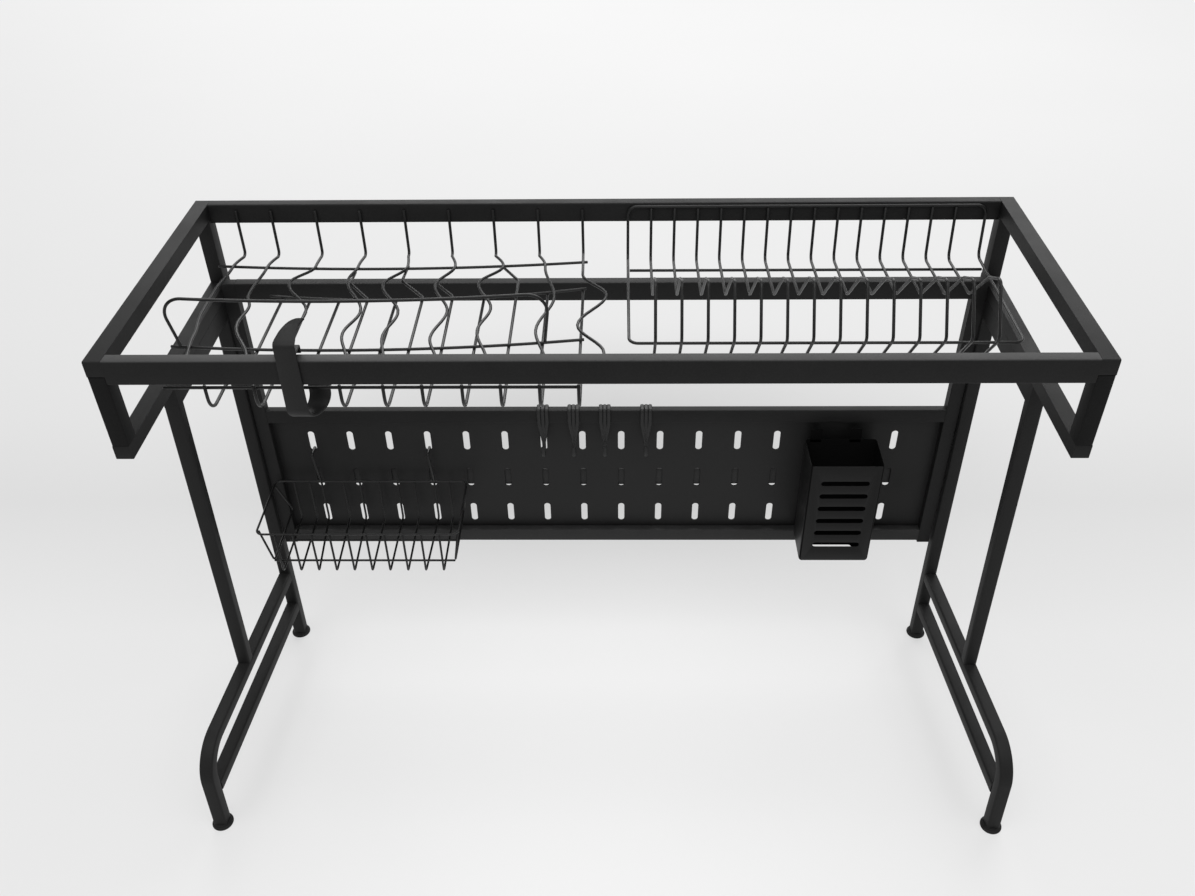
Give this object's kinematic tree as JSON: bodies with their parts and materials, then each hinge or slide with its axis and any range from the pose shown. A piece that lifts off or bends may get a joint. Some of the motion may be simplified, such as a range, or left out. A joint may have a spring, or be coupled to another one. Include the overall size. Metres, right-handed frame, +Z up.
{
  "type": "over sink dish rack",
  "caption": "Over-sink dish drying rack: tube frame on splayed legs with wire bowl and plate racks, a slotted back panel, wire basket, cutlery holder and hooks.",
  "frame": {"origin": "on the surface the rack stands on, at the middle of its length and depth", "axes": "+X along the rack towards the plate rack, +Y from the front rail to the back panel, +Z up"},
  "size_m": [0.9098, 0.338, 0.6519],
  "materials": {
    "black_powder_coat": "satin black powder coat on steel tube",
    "black_wire_coat": "semi-gloss black coat on steel wire",
    "black_sheet_coat": "satin black powder coat on sheet steel",
    "black_rubber": "matt black rubber glide"
  },
  "bodies": {
    "frame": {"top_side_rail_left": "black_powder_coat", "top_side_rail_right": "black_powder_coat", "lower_side_rail_left": "black_powder_coat", "lower_side_rail_right": "black_powder_coat", "front_post_left": "black_powder_coat", "front_post_right": "black_powder_coat", "rear_post_left": "black_powder_coat", "rear_post_right": "black_powder_coat", "front_rail": "black_powder_coat", "rear_rail": "black_powder_coat", "leg_top_tube_left": "black_powder_coat", "leg_top_tube_right": "black_powder_coat", "front_leg_left": "black_powder_coat", "front_leg_right": "black_powder_coat", "rear_leg_left": "black_powder_coat", "rear_leg_right": "black_powder_coat", "foot_tube_left": "black_powder_coat", "foot_tube_right": "black_powder_coat", "stretcher_left": "black_powder_coat", "stretcher_right": "black_powder_coat", "front_foot_left": "black_rubber", "front_foot_right": "black_rubber", "rear_foot_left": "black_rubber", "rear_foot_right": "black_rubber", "module_side_tube_left": "black_powder_coat", "module_side_tube_right": "black_powder_coat", "lower_rear_rail": "black_powder_coat", "panel_top_tube": "black_powder_coat", "panel_bottom_tube": "black_powder_coat", "panel_crossbar": "black_powder_coat", "slotted_panel": "black_sheet_coat", "band_hook": "black_sheet_coat"},
    "bowl_rack": {"bowl_rack_dividers": "black_wire_coat", "bowl_rack_tray": "black_wire_coat", "bowl_rack_fence": "black_wire_coat"},
    "plate_rack": {"plate_rack_frame": "black_wire_coat", "plate_rack_dividers": "black_wire_coat"},
    "wire_basket": {"wire_basket_rim": "black_wire_coat", "wire_basket_ribs": "black_wire_coat"},
    "cutlery_holder_body": {"cutlery_holder": "black_sheet_coat"},
    "hook_1_body": {"hook_1": "black_wire_coat"},
    "hook_2_body": {"hook_2": "black_wire_coat"},
    "hook_3_body": {"hook_3": "black_wire_coat"},
    "hook_4_body": {"hook_4": "black_wire_coat"}
  },
  "joints": [
    {"name": "bowl_rack_lift", "type": "slide", "parent": "frame", "child": "bowl_rack", "axis": [0, 0, 1], "range_m": [0, 0.04]},
    {"name": "plate_rack_lift", "type": "slide", "parent": "frame", "child": "plate_rack", "axis": [0, 0, 1], "range_m": [0, 0.06]},
    {"name": "wire_basket_lift", "type": "slide", "parent": "frame", "child": "wire_basket", "axis": [0, 0, 1], "range_m": [0, 0.024]},
    {"name": "cutlery_holder_lift", "type": "slide", "parent": "frame", "child": "cutlery_holder_body", "axis": [0, 0, 1], "range_m": [0, 0.024]},
    {"name": "hook_1_lift", "type": "slide", "parent": "frame", "child": "hook_1_body", "axis": [0, 0, 1], "range_m": [0, 0.03]},
    {"name": "hook_2_lift", "type": "slide", "parent": "frame", "child": "hook_2_body", "axis": [0, 0, 1], "range_m": [0, 0.03]},
    {"name": "hook_3_lift", "type": "slide", "parent": "frame", "child": "hook_3_body", "axis": [0, 0, 1], "range_m": [0, 0.03]},
    {"name": "hook_4_lift", "type": "slide", "parent": "frame", "child": "hook_4_body", "axis": [0, 0, 1], "range_m": [0, 0.03]}
  ]
}
